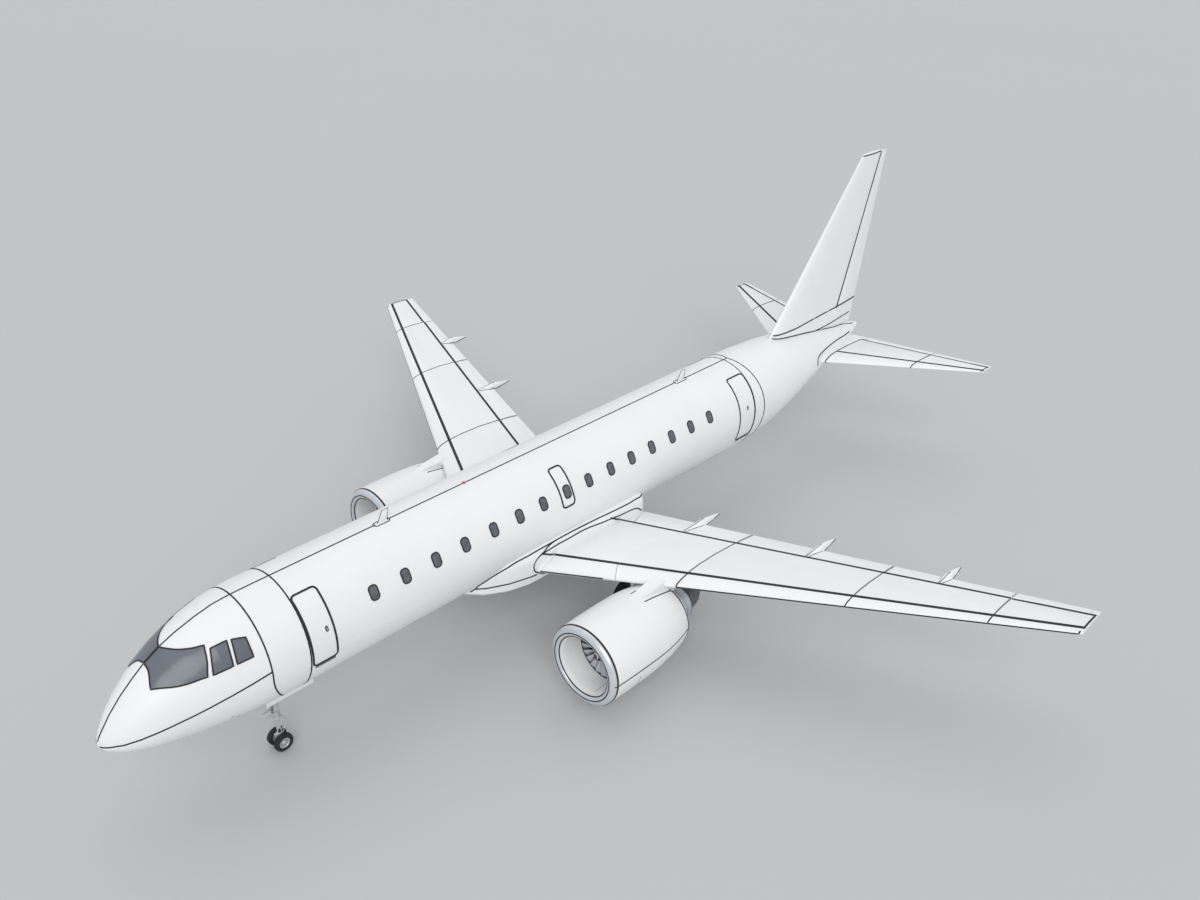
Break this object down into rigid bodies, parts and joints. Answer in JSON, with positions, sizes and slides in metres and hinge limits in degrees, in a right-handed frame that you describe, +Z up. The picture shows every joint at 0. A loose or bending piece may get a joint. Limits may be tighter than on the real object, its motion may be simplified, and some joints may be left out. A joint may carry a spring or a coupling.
{
  "type": "twin-engine regional airliner",
  "caption": "White twin-engine jet airliner on its landing gear, with swept low wings, underwing engines, a tall fin, working flaps, slats and control surfaces, steered nose wheels.",
  "frame": {"origin": "on the ground under the middle of the overall length, on the centre line", "axes": "+X forward to the nose, +Y to port, +Z up"},
  "size_m": [36.689, 33.32, 12.94],
  "materials": {
    "white_paint": "satin white paint with thin dark panel lines",
    "cockpit_glass": "glossy grey-blue tinted glass",
    "lip_metal": "polished bluish aluminium",
    "nozzle_metal": "light satin heat-resisting metal",
    "plug_metal": "dark satin heat-resisting metal",
    "fan_metal": "dark satin metal blades",
    "gear_metal": "light grey paint",
    "tyre_rubber": "matt black rubber"
  },
  "bodies": {
    "root": {"fuselage_nose": "white_paint", "fuselage_forward": "white_paint", "fuselage_center": "white_paint", "fuselage_aft": "white_paint", "tail_cone": "white_paint", "belly_fairing": "white_paint", "fin": "white_paint", "nose_leg": "gear_metal", "windscreen_left": "cockpit_glass", "windscreen_right": "cockpit_glass", "side_window_front_left": "cockpit_glass", "side_window_front_right": "cockpit_glass", "side_window_rear_left": "cockpit_glass", "side_window_rear_right": "cockpit_glass", "door_forward_left": "white_paint", "door_forward_right": "white_paint", "overwing_exit_left": "white_paint", "overwing_exit_right": "white_paint", "door_aft_left": "white_paint", "door_aft_right": "white_paint", "wing_left": "white_paint", "wing_right": "white_paint", "stabilizer_left": "white_paint", "stabilizer_right": "white_paint", "inlet_lip_left": "lip_metal", "inlet_lip_right": "lip_metal", "nacelle_left": "white_paint", "nacelle_right": "white_paint", "engine_core_left": "nozzle_metal", "engine_core_right": "nozzle_metal", "exhaust_plug_left": "plug_metal", "exhaust_plug_right": "plug_metal", "pylon_left": "white_paint", "pylon_right": "white_paint", "main_leg_left": "gear_metal", "main_leg_right": "gear_metal", "nose_gear_door_left": "white_paint", "nose_gear_door_right": "white_paint"},
    "nose_steering": {"nose_steering": "gear_metal"},
    "nose_wheels": {"nose_wheels": "tyre_rubber"},
    "rudder": {"rudder": "white_paint"},
    "main_wheels_left": {"main_wheels_left": "tyre_rubber"},
    "main_wheels_right": {"main_wheels_right": "tyre_rubber"},
    "fan_left": {"fan_left": "fan_metal"},
    "fan_right": {"fan_right": "fan_metal"},
    "aileron_left": {"aileron_left": "white_paint"},
    "aileron_right": {"aileron_right": "white_paint"},
    "elevator_left": {"elevator_left": "white_paint"},
    "elevator_right": {"elevator_right": "white_paint"},
    "flap_inner_left": {"flap_inner_left": "white_paint"},
    "flap_inner_right": {"flap_inner_right": "white_paint"},
    "flap_middle_left": {"flap_middle_left": "white_paint"},
    "flap_middle_right": {"flap_middle_right": "white_paint"},
    "flap_outer_left": {"flap_outer_left": "white_paint"},
    "flap_outer_right": {"flap_outer_right": "white_paint"},
    "slat_inner_left": {"slat_inner_left": "white_paint"},
    "slat_inner_right": {"slat_inner_right": "white_paint"},
    "slat_outer_left": {"slat_outer_left": "white_paint"},
    "slat_outer_right": {"slat_outer_right": "white_paint"}
  },
  "joints": [
    {"name": "fan_left_spin", "type": "hinge", "parent": "root", "child": "fan_left", "pos_m": [4.9445, 5.42, 1.94], "axis": [1, 0, 0], "continuous": true},
    {"name": "fan_right_spin", "type": "hinge", "parent": "root", "child": "fan_right", "pos_m": [4.9445, -5.42, 1.94], "axis": [1, 0, 0], "continuous": true},
    {"name": "nose_steer", "type": "hinge", "parent": "root", "child": "nose_steering", "pos_m": [13.3945, 0, 1.15], "axis": [0, 0, 1], "range_deg": [-70, 70]},
    {"name": "nose_wheels_roll", "type": "hinge", "parent": "nose_steering", "child": "nose_wheels", "pos_m": [13.3945, 0, 0.305], "axis": [0, 1, 0], "continuous": true},
    {"name": "main_wheels_left_roll", "type": "hinge", "parent": "root", "child": "main_wheels_left", "pos_m": [0.7945, 2.97, 0.52], "axis": [0, 1, 0], "continuous": true},
    {"name": "main_wheels_right_roll", "type": "hinge", "parent": "root", "child": "main_wheels_right", "pos_m": [0.7945, -2.97, 0.52], "axis": [0, 1, 0], "continuous": true},
    {"name": "rudder_turn", "type": "hinge", "parent": "root", "child": "rudder", "pos_m": [-15.69943, 0, 6.34], "axis": [-0.2811, 0, 0.9597], "range_deg": [-30, 30]},
    {"name": "aileron_left_turn", "type": "hinge", "parent": "root", "child": "aileron_left", "pos_m": [-3.88311, 14.36, 4.25819], "axis": [0.3257, -0.9409, -0.0925], "range_deg": [-25, 25]},
    {"name": "aileron_right_turn", "type": "hinge", "parent": "root", "child": "aileron_right", "pos_m": [-3.88311, -14.36, 4.25819], "axis": [-0.3257, -0.9409, 0.0925], "range_deg": [-25, 25]},
    {"name": "elevator_left_turn", "type": "hinge", "parent": "root", "child": "elevator_left", "pos_m": [-16.56396, 1.34, 4.76], "axis": [0.2837, -0.9589, 0], "range_deg": [-25, 15]},
    {"name": "elevator_right_turn", "type": "hinge", "parent": "root", "child": "elevator_right", "pos_m": [-16.56396, -1.34, 4.76], "axis": [-0.2837, -0.9589, 0], "range_deg": [-25, 15]},
    {"name": "flap_inner_left_lower", "type": "hinge", "parent": "root", "child": "flap_inner_left", "pos_m": [-0.98896, 6, 3.07648], "axis": [0.3257, -0.9409, -0.0925], "range_deg": [0, 30]},
    {"name": "flap_inner_right_lower", "type": "hinge", "parent": "root", "child": "flap_inner_right", "pos_m": [-0.98896, -6, 3.07648], "axis": [-0.3257, -0.9409, 0.0925], "range_deg": [0, 30]},
    {"name": "flap_middle_left_lower", "type": "hinge", "parent": "root", "child": "flap_middle_left", "pos_m": [-0.98896, 6, 3.07648], "axis": [0.3257, -0.9409, -0.0925], "range_deg": [0, 30]},
    {"name": "flap_middle_right_lower", "type": "hinge", "parent": "root", "child": "flap_middle_right", "pos_m": [-0.98896, -6, 3.07648], "axis": [-0.3257, -0.9409, 0.0925], "range_deg": [0, 30]},
    {"name": "flap_outer_left_lower", "type": "hinge", "parent": "root", "child": "flap_outer_left", "pos_m": [-0.98896, 6, 3.07648], "axis": [0.3257, -0.9409, -0.0925], "range_deg": [0, 30]},
    {"name": "flap_outer_right_lower", "type": "hinge", "parent": "root", "child": "flap_outer_right", "pos_m": [-0.98896, -6, 3.07648], "axis": [-0.3257, -0.9409, 0.0925], "range_deg": [0, 30]},
    {"name": "slat_inner_left_lower", "type": "hinge", "parent": "root", "child": "slat_inner_left", "pos_m": [1.38422, 6, 2.92475], "axis": [-0.4505, 0.8884, 0.0882], "range_deg": [0, 20]},
    {"name": "slat_inner_right_lower", "type": "hinge", "parent": "root", "child": "slat_inner_right", "pos_m": [1.38422, -6, 2.92475], "axis": [0.4505, 0.8884, -0.0882], "range_deg": [0, 20]},
    {"name": "slat_outer_left_lower", "type": "hinge", "parent": "root", "child": "slat_outer_left", "pos_m": [1.38422, 6, 2.92475], "axis": [-0.4505, 0.8884, 0.0882], "range_deg": [0, 20]},
    {"name": "slat_outer_right_lower", "type": "hinge", "parent": "root", "child": "slat_outer_right", "pos_m": [1.38422, -6, 2.92475], "axis": [0.4505, 0.8884, -0.0882], "range_deg": [0, 20]}
  ],
  "couplings": [
    {"joint": "aileron_right_turn", "follows": "aileron_left_turn", "ratio": -1},
    {"joint": "elevator_right_turn", "follows": "elevator_left_turn", "ratio": 1},
    {"joint": "flap_inner_right_lower", "follows": "flap_inner_left_lower", "ratio": 1},
    {"joint": "flap_middle_left_lower", "follows": "flap_inner_left_lower", "ratio": 1},
    {"joint": "flap_middle_right_lower", "follows": "flap_inner_left_lower", "ratio": 1},
    {"joint": "flap_outer_left_lower", "follows": "flap_inner_left_lower", "ratio": 1},
    {"joint": "flap_outer_right_lower", "follows": "flap_inner_left_lower", "ratio": 1},
    {"joint": "slat_inner_left_lower", "follows": "slat_outer_left_lower", "ratio": 1},
    {"joint": "slat_inner_right_lower", "follows": "slat_outer_left_lower", "ratio": 1},
    {"joint": "slat_outer_right_lower", "follows": "slat_outer_left_lower", "ratio": 1}
  ]
}
